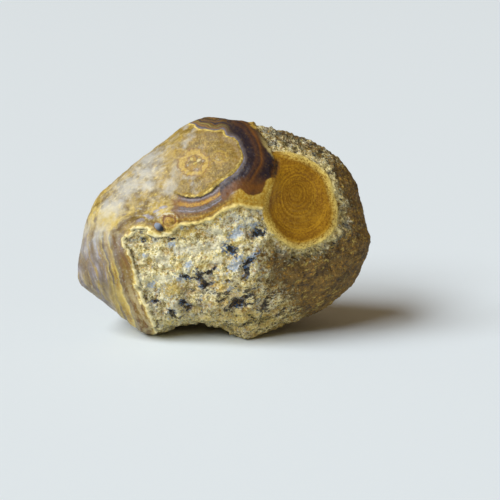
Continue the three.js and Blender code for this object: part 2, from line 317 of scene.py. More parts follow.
def distance_to(line, places):
    """The distance from each place to the nearest point of the line."""
    start, along = line[:-1], np.diff(line, axis=0)
    squared = np.maximum((along**2).sum(1), TINY)
    least = np.empty(len(places))
    for low in range(0, len(places), AT_ONCE):
        away = places[low : low + AT_ONCE, None, :] - start
        part = np.clip((away * along).sum(2) / squared, 0, 1)
        off = away - part[..., None] * along
        least[low : low + AT_ONCE] = np.sqrt((off**2).sum(2).min(1))
    return least


def is_inside(line, places):
    """Whether a line to the right of each place crosses the closed line an odd number of times."""
    inside = np.zeros(len(places), bool)
    for a, b in zip(line, np.roll(line, -1, axis=0)):
        spans = (a[1] > places[:, 1]) != (b[1] > places[:, 1])
        rise = b[1] - a[1] if b[1] != a[1] else TINY
        inside ^= spans & (places[:, 0] < a[0] + (b[0] - a[0]) * (places[:, 1] - a[1]) / rise)
    return inside


def beyond_edge(places_of_edge, places):
    """How far each place lies on the rough side of an open edge, negative on its banded side."""
    line = line_through(places_of_edge, False)
    far = distance_to(line, places)
    return np.where(is_inside(np.vstack([line, ROUGH_SIDE]), places), far, -far)


def outside_ring(ring, places):
    """How far each place lies outside a closed ring, negative inside it."""
    line = line_through(ring, True)
    far = distance_to(line, places)
    return np.where(is_inside(line[:-1], places), -far, far)


def ring_share(ring, core, middle, places):
    """Where each place lies from an eye's core, 0, to its rim, 1, on rings that drift to the middle."""
    core, middle = np.array(core), np.array(middle)
    line = line_through(ring, True) - middle
    angles = np.arctan2(line[:, 1], line[:, 0])
    reaches = np.hypot(line[:, 0], line[:, 1])
    share = np.full(len(places), 0.5)
    for _ in range(8):
        away = places - core - (middle - core) * np.minimum(share, 1)[:, None]
        angle = np.arctan2(away[:, 1], away[:, 0])
        rim_reach = np.interp(angle, angles, reaches, period=2 * math.pi)
        oval_reach = np.hypot(EYE_OVAL[0] * np.cos(angle), EYE_OVAL[1] * np.sin(angle))
        reach = oval_reach + (rim_reach - oval_reach) * smooth(0.55, 1, share)
        share = np.hypot(away[:, 0], away[:, 1]) / reach
    return share


def spot_depth(spots, places):
    """How deep each place lies in the nearest spot: 1 in its middle, 0 at its edge and negative outside."""
    deepest = np.full(len(places), -FAR_OUTSIDE)
    for right, up, half_length, half_width, turn in spots:
        away = places - (right, up)
        c, s = math.cos(math.radians(turn)), math.sin(math.radians(turn))
        along, across = away @ (c, s), away @ (-s, c)
        deepest = np.maximum(deepest, 1 - np.hypot(along / half_length, across / half_width))
    return deepest


def smooth(low, high, values):
    share = np.clip((values - low) / (high - low), 0, 1)
    return share * share * (3 - 2 * share)


def stone_fields(points):
    """What each point of the stone knows of its place, in millimetres: named values for relief and finish."""
    from_heart = points / MM - HEART
    right, up, towards = from_heart @ RIGHT, from_heart @ UP, from_heart @ TOWARDS
    nearer = VIEWPOINT[2] / (VIEWPOINT[2] - towards)
    across, along = VIEWPOINT[:2]
    places = np.stack([across + (right - across) * nearer, along + (up - along) * nearer], 1)
    front = smooth(-0.15, 0.15, towards / np.linalg.norm(from_heart, axis=1))
    behind = np.maximum(-towards, 0)
    rough = front * beyond_edge(RIND_EDGE, places) + (1 - front) * beyond_edge(BACK_RIND_EDGE, places)
    eye = outside_ring(EYE_RIM, places) + 2 * behind
    ridge = beyond_edge(RIDGE, places)
    high = smooth(4, 12, places[:, 1])
    near_eye = high * smooth(0.8, 3.4, eye) + (1 - high) * smooth(1.4, 4.8, eye)
    # Right of the ridge above the base the rind turns half brown at once; this is partly painted shade on the
    # facet turned away from the light.
    turn = 0.5 * smooth(-0.8, 0.8, ridge) * smooth(-12, -8, places[:, 1])
    brown = np.maximum(turn, smooth(-5, 9, ridge)) * near_eye * (1 - 0.6 * smooth(11, 16, places[:, 1]))
    fields = {
        "front": front,
        "right": places[:, 0],
        "up": places[:, 1],
        "rough": rough,
        "pocket": np.minimum(rough, front * eye + (1 - front) * FAR_OUTSIDE),
        "eye": eye,
        "eye_ring": ring_share(EYE_RIM, EYE_CORE, EYE_MIDDLE, places) + behind,
        "plate": outside_ring(PLATE_RIM, places) + ENDS_BEHIND * behind,
        "crescent": -outside_ring(CRESCENT, places) - ENDS_BEHIND * behind,
        "ridge": ridge,
        "brown": front * brown + (1 - front) * BROWN_BEHIND,
    }
    for name, spots in SPOTS.items():
        fields[name] = spot_depth(spots, places) - FAR_OUTSIDE * (1 - front)
    return fields


# Nodes


class Nodes:
    """Adds nodes to one tree, and links or sets what feeds them."""

    def __init__(self, tree):
        self.tree = tree
        self.place = None

    def add(self, kind, feeds=None, **settings):
        node = self.tree.nodes.new(kind)
        for name, value in settings.items():
            setattr(node, name, value)
        for socket, value in (feeds or {}).items():
            self.feed(node.inputs[socket], value)
        return node

    def feed(self, socket, value):
        if isinstance(value, bpy.types.NodeSocket):
            self.tree.links.new(value, socket)
        elif isinstance(value, tuple) and len(value) == 3 and socket.type == "RGBA":
            socket.default_value = (*value, 1)
        else:
            socket.default_value = value

    def math(self, operation, *values):
        node = self.add("ShaderNodeMath", operation=operation)
        for socket, value in zip(node.inputs, values):
            self.feed(socket, value)
        return node.outputs[0]

    def plus(self, *values):
        total = values[0]
        for value in values[1:]:
            total = self.math("ADD", total, value)
        return total

    def minus(self, a, b):
        return self.math("SUBTRACT", a, b)

    def times(self, *values):
        total = values[0]
        for value in values[1:]:
            total = self.math("MULTIPLY", total, value)
        return total

    def smooth(self, low, high, value):
        """0 where the value is at low, and 1 where it is at high."""
        feeds = {"Value": value, "From Min": low, "From Max": high}
        return self.add("ShaderNodeMapRange", feeds, interpolation_type="SMOOTHSTEP").outputs["Result"]

    def fade(self, low, high, share):
        """From low to high as the share goes from 0 to 1."""
        return self.plus(self.times(share, high - low), low)

    def bell(self, value, middle, width):
        """1 where the value is at the middle, and near 0 two widths off it."""
        off = self.math("DIVIDE", self.minus(value, middle), width)
        return self.math("EXPONENT", self.times(off, off, -1.0))

    def within(self, value, low, high, soft):
        """1 where the value is between low and high, with soft ends."""
        past_low = self.smooth(low - soft, low + soft, value)
        return self.times(past_low, self.smooth(high + soft, high - soft, value))

    def vector(self, operation, feeds):
        return self.add("ShaderNodeVectorMath", feeds, operation=operation).outputs

    def scaled(self, vector, scale):
        return self.vector("SCALE", {0: vector, 3: scale})[0]

    def stretch(self, vector, axis, share):
        """The place with its part along the axis shrunk, so that a texture runs long that way."""
        along = self.vector("DOT_PRODUCT", {0: vector, 1: axis})["Value"]
        spare = self.scaled(axis, self.times(along, 1 - share))
        return self.vector("SUBTRACT", {0: vector, 1: spare})[0]

    def layers(self, value, size, detail=2.0):
        """Uneven layers along one value, from 0 to 1."""
        line = self.add("ShaderNodeCombineXYZ", {0: value}).outputs[0]
        return self.noise(line, size, detail)

    def noise(self, vector, size, detail=2.0, roughness=0.5, distortion=0.0):
        """Unevenness from 0 to 1 round a half, of a size in millimetres."""
        feeds = {"Vector": vector, "Scale": 1 / size, "Detail": detail}
        feeds.update({"Roughness": roughness, "Distortion": distortion})
        return self.add("ShaderNodeTexNoise", feeds).outputs[0]

    def patches(self, low, high, vector, *look):
        """Patches where a noise is past high, with edges that fade where it falls to low."""
        return self.smooth(low, high, self.noise(vector, *look))

    def wobble(self, size, height):
        """Unevenness that breaks up an edge, up to about half the height either way."""
        return self.times(self.minus(self.noise(self.place, size, 3), 0.5), height)

    def cells(self, vector, size, feature="F1"):
        return self.add("ShaderNodeTexVoronoi", {"Vector": vector, "Scale": 1 / size}, feature=feature)

    def mix(self, share, a, b):
        node = self.add("ShaderNodeMix", data_type="RGBA")
        self.feed(node.inputs[0], share)
        self.feed(node.inputs[6], a)
        self.feed(node.inputs[7], b)
        return node.outputs[2]

    def over(self, under, shade, *shares):
        """The shade laid over what is under it, by the product of the shares."""
        return self.mix(self.times(*shares), under, shade)

    def ramp(self, value, stops, interpolation="LINEAR"):
        """Shades along a value, from a row of places and shades."""
        node = self.add("ShaderNodeValToRGB", {"Fac": value})
        node.color_ramp.interpolation = interpolation
        elements = node.color_ramp.elements
        while len(elements) < len(stops):
            elements.new(0.5)
        for element, (position, shade) in zip(elements, stops.items()):
            element.position = position
            element.color = (*shade, 1)
        return node.outputs["Color"]

    def value(self, name):
        """A named value of the stone's points."""
        if self.tree.type == "SHADER":
            return self.add("ShaderNodeAttribute", attribute_name=name).outputs["Fac"]
        return self.add("GeometryNodeInputNamedAttribute", {"Name": name}, data_type="FLOAT").outputs[0]

    def values(self, *names):
        return [self.value(name) for name in names]


# The stone's relief


RELIEF_SIZES = (
    "ledge_drop", "ledge_soft", "ledge_sharp", "rim_height", "eye_rim_height", "plate_height",
    "ring_height", "stripe_height", "grain_size", "grain_height", "pit_depth", "rind_roughness",
)


def relief_tree(material):
    """A tree that raises grains, rims, rings and ridges on the stone, from the values of its points."""
    tree = bpy.data.node_groups.new("Stone relief", "GeometryNodeTree")
    tree.interface.new_socket("Geometry", in_out="INPUT", socket_type="NodeSocketGeometry")
    for name in (*RELIEF_SIZES, "seed"):
        tree.interface.new_socket(name, in_out="INPUT", socket_type="NodeSocketFloat")
    tree.interface.new_socket("Geometry", in_out="OUTPUT", socket_type="NodeSocketGeometry")
    n = Nodes(tree)
    given = n.add("NodeGroupInput").outputs
    size = {name: n.times(given[name], 1 / MM) for name in RELIEF_SIZES}
    position = n.add("GeometryNodeInputPosition").outputs[0]
    place = n.vector("ADD", {0: n.scaled(position, 1 / MM), 1: given["seed"]})[0]
    n.place = place
    steps = n.minus(n.cells(place, 1.5).outputs["Color"], 0.5)
    steps = n.times(steps, n.fade(0.4, 1.3, n.smooth(-11, -15, n.value("right"))))
    edge_wobble = n.plus(n.wobble(1.6, 0.7), n.wobble(0.5, 0.4), steps)
    rough = n.plus(n.value("rough"), edge_wobble)
    pocket = n.smooth(0.1, 0.7, n.plus(n.value("pocket"), edge_wobble))
    eye = n.value("eye")
    in_eye = n.times(n.smooth(0.2, -0.2, eye), n.value("front"))
    plate = n.plus(n.value("plate"), n.wobble(0.9, 0.8))
    front = n.value("front")
    brown = n.value("brown")
    off_eye = n.minus(1, in_eye)
    half_soft = n.times(size["ledge_soft"], 0.5)
    half_sharp = n.times(size["ledge_sharp"], 0.5)
    soft_step = n.smooth(n.times(half_soft, -1), half_soft, n.value("rough"))
    sharp_step = n.smooth(n.times(half_sharp, -1), half_sharp, rough)
    ledge = n.times(n.minus(soft_step, sharp_step), size["ledge_drop"], off_eye)
    rim = n.times(
        n.bell(rough, -0.26, 0.3), n.patches(0.3, 0.65, place, 1.1, 3), size["rim_height"], 1.5, off_eye,
        n.smooth(22.5, 19.5, n.value("up")),
    )
    eye_rim = n.times(
        n.bell(n.plus(eye, n.wobble(1.2, 0.5)), 0.1, 0.42),
        size["eye_rim_height"],
        front,
        n.smooth(11, 15, n.plus(n.value("right"), n.times(n.smooth(6, -1, n.value("up")), 5))),
    )
    rings = n.math("SINE", n.times(n.plus(n.value("eye_ring"), n.wobble(4, 0.06)), RING_WAVES))
    eye_rings = n.times(rings, size["ring_height"], in_eye)
    below_crown = n.smooth(22.5, 19.5, n.value("up"))
    on_shoulder = n.times(n.smooth(-13, -8, n.value("right")), front, below_crown)
    plate_steps = n.minus(n.smooth(0.35, -0.35, plate), n.smooth(1.2, -1.2, n.value("plate")))
    plate_rim = n.times(n.bell(plate, -0.3, 0.45), 0.4)
    plate_edge = n.times(n.plus(plate_steps, plate_rim), size["plate_height"], on_shoulder)
    stripes = n.times(n.minus(n.layers(n.plus(n.value("rough"), n.wobble(5, 1.6)), 1.3), 0.5), 4)
    on_flank = n.times(
        n.smooth(-0.4, -1.2, rough), n.smooth(-12, -16, n.value("right")), n.smooth(-15, -4, rough)
    )
    toes = n.fade(1, 3.2, n.smooth(-9, -17, n.value("up")))
    flank = n.times(stripes, size["stripe_height"], on_flank, toes)
    drift = n.add("ShaderNodeTexNoise", {"Vector": place, "Scale": 0.8}).outputs[1]
    warped = n.vector("ADD", {0: place, 1: drift})[0]
    off = []
    for share in (0.6, 1.15):
        scale = n.math("DIVIDE", share, size["grain_size"])
        off.append(n.add("ShaderNodeTexVoronoi", {"Vector": warped, "Scale": scale}).outputs["Distance"])
    big, small = off
    uneven = n.plus(n.wobble(5.2, 5), n.wobble(2.4, 3), n.wobble(1.2, 1.4))
    grain = n.plus(n.times(n.minus(0.4, big), 1.2), n.times(n.minus(0.4, small), 0.75), uneven)
    paler = n.minus(1, n.times(brown, 0.7))
    grains = n.times(grain, size["grain_height"], pocket, paler)
    pits = n.times(
        n.smooth(-0.1, 0.7, n.plus(n.value("dark"), n.wobble(0.8, 1))), size["pit_depth"], pocket, -1
    )
    lumps = n.times(n.plus(n.wobble(4, 2), n.wobble(1.6, 0.9)), size["rind_roughness"], brown, pocket)
    dimples = n.times(n.plus(n.wobble(3.4, 0.7), n.wobble(1.4, 0.25)), n.minus(1, pocket), off_eye)
    on_ridge = n.times(n.within(n.value("up"), -9, -0.6, 1.4), pocket, front)
    ridge = n.plus(n.value("ridge"), n.wobble(2, 1))
    crest = n.times(
        n.plus(n.times(n.bell(ridge, -0.5, 1.2), 0.75), n.times(n.smooth(0, 2.2, ridge), -0.35)), on_ridge
    )
    cleft = n.times(n.smooth(-0.2, 0.6, n.value("cleft")), -0.45)
    knob = n.value("knob")
    knob_shape = n.plus(
        n.times(n.smooth(0.35, 0.8, knob), 0.12), n.times(n.bell(knob, 0.15, 0.2), -0.2),
        n.times(n.bell(knob, -0.2, 0.25), 0.2),
    )
    pebble = n.value("pebble")
    pebble_shape = n.plus(
        n.times(n.smooth(0, 0.5, pebble), 0.45), n.times(n.bell(pebble, -0.15, 0.2), -0.25)
    )
    worn = n.wobble(0.7, 0.09)
    forms = (
        ledge, rim, eye_rim, eye_rings, plate_edge, flank, grains, pits, lumps, crest, cleft, dimples, worn
    )
    height = n.plus(*forms, knob_shape, pebble_shape)
    above = n.add("ShaderNodeSeparateXYZ", {0: position}).outputs[2]
    height = n.times(height, n.smooth(0.2 * MM, 1.6 * MM, above), MM)
    normal = n.add("GeometryNodeInputNormal").outputs[0]
    offset = n.scaled(normal, height)
    kept = given["Geometry"]
    for name, value in (("grain", grain), ("uneven", edge_wobble)):
        feeds = {"Geometry": kept, "Name": name, "Value": value}
        kept = n.add("GeometryNodeStoreNamedAttribute", feeds, data_type="FLOAT", domain="POINT").outputs[0]
    raised = n.add("GeometryNodeSetPosition", {"Geometry": kept, "Offset": offset})
    real = n.add("GeometryNodeRealizeInstances", {"Geometry": raised.outputs[0]})
    painted = n.add("GeometryNodeSetMaterial", {"Geometry": real.outputs[0], "Material": material})
    n.add("NodeGroupOutput", {"Geometry": painted.outputs[0]})
    return tree


# The stone's finish


def rind_finish(n, place, c):
    """Worn tan rind with golden flecks and a whitish bloom that is partly painted sheen, strongest high on the
    left, yellower to the right at the neck.
    """
    right, up, front = n.values("right", "up", "front")
    down_slope = n.stretch(place, DOWN_SHOULDER, 0.5)
    patches = n.noise(place, 3.2, 5, 0.62, 0.6)
    base = n.mix(n.smooth(0.36, 0.62, patches), c.khaki, c.tan)
    fleck = n.noise(down_slope, 0.6, 4, 0.65)
    base = n.over(base, c.gold, n.smooth(0.5, 0.7, fleck), 0.6)
    base = n.over(base, c.umber, n.smooth(0.48, 0.34, fleck), 0.4)
    base = n.over(base, c.straw, n.smooth(8, 2, up), n.smooth(0.4, 0.6, patches), 0.45)
    # Whitish bloom, partly painted sheen, and a painted sheen veil that is stronger to the left and higher up.
    bloom = n.smooth(-1.6, 0.8, n.plus(n.value("bloom"), n.wobble(1.4, 3.4)))
    painted_sheen_veil = n.times(n.patches(0.46, 0.66, down_slope, 2, 5, 0.7, 0.5), n.smooth(-6, -14, right), 0.7)
    high = n.fade(0.25, 1, n.smooth(3, 10, up))
    base = n.over(base, c.bloom, n.math("MAXIMUM", bloom, n.times(painted_sheen_veil, high)), 0.55)
    neck = n.times(n.smooth(-1.5, 3, right), front)
    speckle = n.mix(n.patches(0.4, 0.65, place, 0.45, 3, 0.6), c.amber, c.straw)
    base = n.mix(neck, base, n.mix(0.45, c.olive, speckle))
    stain = n.smooth(-0.3, 0.5, n.plus(n.value("stain"), n.wobble(0.7, 1.6)))
    base = n.over(base, c.lavender, stain, 0.75)
    curls = n.times(
        n.patches(0.5, 0.68, place, 0.9, 4, 0.65), n.within(up, 1, 6.5, 1.5), n.within(right, -19, -11, 1.5)
    )
    return n.over(base, c.bloom, curls, front, 0.45)


def flank_finish(n, place, c, under):
    """Growth stripes that follow the rind's edge down the left flank and round the back."""
    right, up, front = n.values("right", "up", "front")
    deep = n.plus(n.times(n.value("rough"), -1), n.wobble(6, 2.4), n.wobble(1.2, 0.5))
    stops = {
        0: c.straw, 0.04: c.amber, 0.07: c.umber, 0.13: c.chestnut, 0.19: c.umber, 0.22: c.chestnut,
        0.25: c.slate, 0.3: c.slate, 0.32: c.straw, 0.36: c.amber, 0.4: c.tan, 0.42: c.slate, 0.45: c.slate,
        0.47: c.straw, 0.5: c.tan, 0.515: c.slate, 0.53: c.lavender, 0.545: c.tan, 0.57: c.lavender,
        0.66: c.slate, 0.7: c.lavender, 0.725: c.tan, 0.75: c.lavender, 0.85: c.slate, 0.9: c.umber,
        0.94: c.slate, 1: c.lavender,
    }
    stripes = n.ramp(n.math("PINGPONG", n.times(deep, 1 / STRIPES_SPAN), 1), stops)
    fine = n.layers(deep, 0.55, 3)
    stripes = n.over(stripes, c.tan, n.smooth(0.52, 0.64, fine), 0.45)
    stripes = n.over(stripes, c.slate, n.smooth(0.47, 0.36, fine), 0.5)
    along = n.stretch(place, DOWN_FLANK, 0.3)
    stripes = n.over(stripes, c.umber, n.patches(0.44, 0.62, along, 1.2, 5, 0.7), 0.65)
    stripes = n.over(stripes, c.bloom, n.patches(0.54, 0.7, place, 0.5, 4, 0.7), 0.5)
    patches = n.patches(0.5, 0.62, along, 3, 3, 0.6)
    stripes = n.over(stripes, c.straw, patches, n.smooth(-6, -14, up), n.smooth(-19, -23, right), 0.4)
    strip = n.times(
        n.bell(deep, 4.2, 0.8), n.smooth(-1, -9, up), front, n.patches(0.35, 0.6, along, 1.4, 4, 0.6)
    )
    stripes = n.over(stripes, c.straw, strip, 0.5)
    foot = n.times(
        n.smooth(-8, -15, up), n.smooth(5.5, 1.5, deep), n.patches(0.4, 0.6, along, 1, 4, 0.6), front
    )
    stripes = n.over(stripes, n.mix(0.4, c.straw, c.bloom), foot, 0.5)
    # Painted sheen: whitish on the upper left edge of the flank, where the light falls.
    sheen = n.times(n.smooth(-19, -27, right), n.smooth(-9, 0, up), n.patches(0.3, 0.6, along, 2, 4), front)
    stripes = n.over(stripes, c.bloom, sheen, 0.65)
    dusk = n.times(
        n.smooth(-20, -27, right), n.smooth(2, -8, up), n.patches(0.35, 0.55, along, 1.6, 4, 0.6)
    )
    stripes = n.over(stripes, c.slate, dusk, 0.6)
    low = n.smooth(5, -4, n.plus(up, n.wobble(4, 7)))
    left = n.smooth(-12.5, -17.5, n.minus(right, n.times(n.smooth(-6, -16, up), 6)))
    worn = n.patches(0.3, 0.6, place, 6, 3)
    behind = n.times(n.minus(1, front), n.fade(0.3, 0.75, worn))
    strength = n.math("MAXIMUM", n.times(low, left, 0.9, n.fade(0.6, 1, front)), behind)
    return n.mix(strength, under, stripes)


def ring_round(n, middle):
    """How far out of a small eye a place lies, 1 at its ring."""
    right, up, half_width, half_height = middle
    across = n.times(n.minus(n.value("right"), right), 1 / half_width)
    along = n.times(n.minus(n.value("up"), up), 1 / half_height)
    far = n.math("SQRT", n.plus(n.times(across, across), n.times(along, along)))
    return n.plus(far, n.wobble(2.4, 0.8), n.wobble(0.8, 0.5))


def plate_finish(n, place, c, under):
    """The worn plate: fibrous khaki, its small eyes and its thin yellow rim."""
    right, up, front = n.values("right", "up", "front")
    plate = n.plus(n.value("plate"), n.wobble(0.9, 0.9), n.wobble(0.4, 0.3))
    on_plate = n.times(
        n.smooth(0.15, -0.15, plate), n.smooth(-14.5, -6, n.plus(right, n.wobble(3, 5))), front
    )
    fibres = n.noise(n.stretch(place, DOWN_PLATE, 0.4), 0.8, 5, 0.72, 0.3)
    khaki = n.mix(n.smooth(0.42, 0.72, fibres), c.khaki, c.tan)
    khaki = n.over(khaki, c.olive, n.patches(0.44, 0.64, place, 2.4, 4, 0.6), 0.5)
    khaki = n.over(khaki, c.khaki, n.patches(0.48, 0.36, place, 0.6, 4, 0.7), 0.45)
    sand = n.noise(n.stretch(place, DOWN_PLATE, 0.6), 0.35, 4, 0.8)
    khaki = n.over(khaki, c.gold, n.smooth(0.54, 0.66, sand), 0.5)
    khaki = n.over(khaki, c.soil, n.smooth(0.46, 0.36, sand), 0.6)
    near_rim = n.times(n.smooth(-3.2, -0.4, plate), n.smooth(-7, -2, right), n.smooth(12, 16, up))
    khaki = n.over(khaki, c.umber, near_rim, 0.6)
    # Painted sheen: whitish patches that grow towards the plate's left, where the light falls.
    whitish_patches = n.times(n.patches(0.44, 0.66, place, 2.6, 3, 0.5), n.smooth(-2, -9, right))
    khaki = n.over(khaki, c.bloom, whitish_patches, 0.5)
    finish = n.over(under, khaki, on_plate, 0.95)
    cells = n.cells(place, 0.85).outputs["Color"]
    seams = n.smooth(0.14, 0.05, n.cells(place, 0.85, "DISTANCE_TO_EDGE").outputs["Distance"])
    inner = n.ramp(cells, {0.35: c.khaki, 0.45: c.straw, 0.55: c.bloom, 0.65: c.olive})
    inner = n.over(inner, c.umber, seams, 0.7)
    ring = n.mix(n.fade(0.1, 0.5, n.patches(0.35, 0.65, place, 0.4, 4, 0.7)), c.olive, c.straw)
    for middle, strength in ((ROSETTE, 0.85), (RIGHT_EYELET, 0.5), (LEFT_EYELET, 0.4)):
        far = ring_round(n, middle)
        patchy = n.fade(0.5, 1, n.patches(0.36, 0.56, place, 1.6, 3))
        finish = n.over(finish, ring, n.within(far, 0.7, 1.08, 0.14), front, patchy, strength)
        finish = n.over(finish, inner, n.smooth(0.72, 0.58, far), front, strength * 0.8)
        for reach in (0.66, 1.12):
            finish = n.over(finish, c.chestnut, n.bell(far, reach, 0.06), front, patchy, strength * 0.7)
    rim = n.times(n.bell(plate, -0.1, 0.24), n.smooth(-11, -7, right), front)
    return n.over(finish, c.gold, rim, n.fade(0.25, 0.95, n.patches(0.35, 0.6, place, 0.8, 2)))


def band_finish(n, place, c, under):
    """The bands under the plate, from its rim out to the pocket's edge: painted shadow right under the rim,
    then lavender, amber, slate and brown.
    """
    right, up, front = n.values("right", "up", "front")
    plate = n.plus(n.value("plate"), n.wobble(2, 0.6), n.wobble(0.5, 0.35))
    beyond = n.math("MAXIMUM", plate, 0)
    to_edge = n.math("MAXIMUM", n.times(n.value("rough"), -1), 0)
    part = n.plus(n.math("DIVIDE", beyond, n.plus(beyond, to_edge, 0.01)), n.wobble(0.6, 0.09))
    # Night and slate right at the plate's rim are painted shadow under its edge.
    stops = {
        0: c.night, 0.06: c.slate, 0.1: c.lavender, 0.13: c.slate, 0.19: c.chestnut, 0.23: c.amber,
        0.32: c.honey, 0.36: c.chestnut, 0.4: c.slate, 0.48: c.slate, 0.51: c.lavender, 0.54: c.slate,
        0.6: c.chestnut, 0.68: c.umber, 0.78: c.amber, 0.88: c.umber, 0.93: c.olive, 0.97: c.gold,
    }
    bands = n.ramp(part, stops)
    speckle = n.noise(place, 0.5, 4, 0.7)
    bands = n.over(bands, c.straw, n.smooth(0.52, 0.7, speckle), n.smooth(0.5, 0.75, part), 0.6)
    bands = n.over(bands, c.soil, n.smooth(0.52, 0.36, speckle), 0.6)
    bands = n.over(bands, c.chestnut, n.smooth(0.5, 0.64, n.layers(plate, 0.35, 3)), 0.35)
    ends = n.plus(right, n.wobble(1.6, 2.6), n.times(n.bell(up, 4.5, 2), 0.8))
    strength = n.times(n.smooth(-10.9, -9.7, ends), n.smooth(4.2, 0.8, ends), front)
    outside = n.times(n.smooth(-0.05, 0.1, plate), n.smooth(12, 9.5, up))
    finish = n.over(under, bands, strength, outside, 0.94)
    left_end = n.times(n.bell(ends, -9.6, 1), n.within(up, 1.5, 7.4, 0.8), front)
    return n.over(finish, n.mix(n.smooth(0.4, 0.6, speckle), c.chestnut, c.umber), left_end, 0.8)


def crescent_finish(n, place, c, under):
    """The dark crescent: a lavender line that is painted reflection on the plate's step, near black, then
    chestnut out to the lobe.
    """
    right, up = n.values("right", "up")
    crescent = n.plus(n.value("crescent"), n.wobble(1.4, 0.8), n.wobble(0.5, 0.3))
    crescent = n.plus(crescent, n.times(n.wobble(4, 6), n.minus(1, n.value("front"))))
    plate = n.plus(n.value("plate"), n.wobble(2.4, 0.9))
    dusk = tuple((0.6 * a + 0.4 * b for a, b in zip(c.night, c.chestnut)))
    # The lavender line next to the plate is a painted reflection on the face of its step.
    stops = {
        0: c.slate, 0.03: c.lavender, 0.06: c.slate, 0.16: c.night, 0.34: c.night, 0.44: dusk, 0.5: c.night,
        0.55: dusk, 0.6: c.chestnut, 0.64: dusk, 0.76: c.night, 1: c.night,
    }
    bands = n.ramp(n.times(plate, 1 / CRESCENT_SPAN), stops)
    fine = n.layers(plate, 0.4, 3)
    bands = n.over(bands, c.chestnut, n.smooth(0.52, 0.7, fine), n.smooth(1.8, 3.2, plate), 0.4)
    lobe = n.times(n.smooth(12.4, 9.8, n.plus(up, n.wobble(2, 1.5))), n.smooth(1, 2.2, plate))
    brown = n.mix(n.patches(0.36, 0.6, place, 1.2, 4, 0.65), c.night, c.chestnut)
    bands = n.mix(lobe, bands, n.mix(0.35, c.chestnut, brown))
    crown = n.times(n.smooth(20.8, 22.6, up), n.smooth(3.5, -2, right))
    strata = n.ramp(
        n.layers(n.plus(plate, n.wobble(3, 0.6)), 0.7, 2),
        {0.36: c.night, 0.46: c.slate, 0.52: c.amber, 0.58: c.night, 0.66: c.straw},
    )
    bands = n.over(bands, strata, crown, 0.6)
    grain = n.noise(place, 0.5, 4, 0.7)
    bands = n.over(bands, c.umber, n.smooth(0.5, 0.72, grain), 0.4)
    inside = n.times(n.smooth(-0.1, 0.25, crescent), n.smooth(0, 0.2, plate))
    finish = n.mix(inside, under, bands)
    edge_line = n.times(
        n.bell(crescent, -0.3, 0.3), n.smooth(0.5, 2, plate), n.smooth(4, 8, right),
        n.patches(0.35, 0.6, place, 0.8, 2),
    )
    return n.over(finish, c.gold, edge_line, 0.4)


def eye_finish(n, place, c, under):
    """The large eye: fine concentric rings, a darker core and a bright thin rim that is partly painted
    highlight on its right and lower side.
    """
    right, up, front = n.values("right", "up", "front")
    ring = n.plus(n.value("eye_ring"), n.wobble(3, 0.06), n.wobble(0.5, 0.03))
    fine = n.plus(n.times(n.layers(ring, 0.08, 2), 0.5), n.times(n.layers(ring, 0.04, 2), 0.5))
    sugar = n.noise(place, 0.4, 4, 0.75)
    shade = n.plus(fine, n.times(n.minus(sugar, 0.5), 1.1), n.wobble(4, 0.5))
    rings = n.mix(n.smooth(0.25, 0.75, shade), c.bronze, c.honey)
    rings = n.over(rings, c.bronze, n.within(ring, 0.28, 0.34, 0.03), 0.35)
    rings = n.over(rings, c.bronze, n.smooth(0.32, 0.2, ring), 0.25)
    glow = n.times(
        n.within(ring, 0.36, 0.5, 0.06), n.smooth(16, 19, n.minus(right, n.times(up, 0.3))),
        n.smooth(0.42, 0.6, sugar),
    )
    rings = n.over(rings, c.olive, glow, 0.5)
    contour = n.times(n.within(ring, 0.74, 0.82, 0.03), n.smooth(18, 12.5, right), 0.25)
    rings = n.mix(contour, rings, c.bronze)
    outer = n.times(n.smooth(0.8, 0.97, ring), n.fade(0.2, 0.9, n.smooth(0.42, 0.62, sugar)))
    rings = n.over(rings, c.olive, outer, 0.8)
    low_left = n.times(n.smooth(13.5, 11.5, right), n.smooth(-2, 3, up), n.smooth(13, 9, up))
    neck = n.times(n.smooth(0.8, 0.9, ring), low_left)
    rings = n.over(rings, n.mix(n.smooth(0.4, 0.65, sugar), c.olive, c.straw), neck, 0.8)
    # Partly painted highlight: the rim's gold lies only on its right and lower side, where it catches the
    # light.
    lit = n.smooth(11.5, 15.5, n.plus(right, n.times(n.smooth(6, -1, up), 6)))
    near_rim = n.times(n.smooth(-1.5, -0.1, n.value("eye")), n.smooth(0.4, 0.57, sugar), lit)
    rings = n.over(rings, c.gold, near_rim, 0.95)
    in_eye = n.times(n.smooth(0.15, -0.15, n.value("eye")), front)
    finish = n.mix(in_eye, under, rings)
    rim = n.times(n.bell(n.plus(n.value("eye"), n.wobble(1, 0.8)), 0.15, 0.4), front)
    return n.over(finish, c.gold, rim, lit, n.fade(0.45, 1, n.smooth(0.36, 0.56, sugar)))


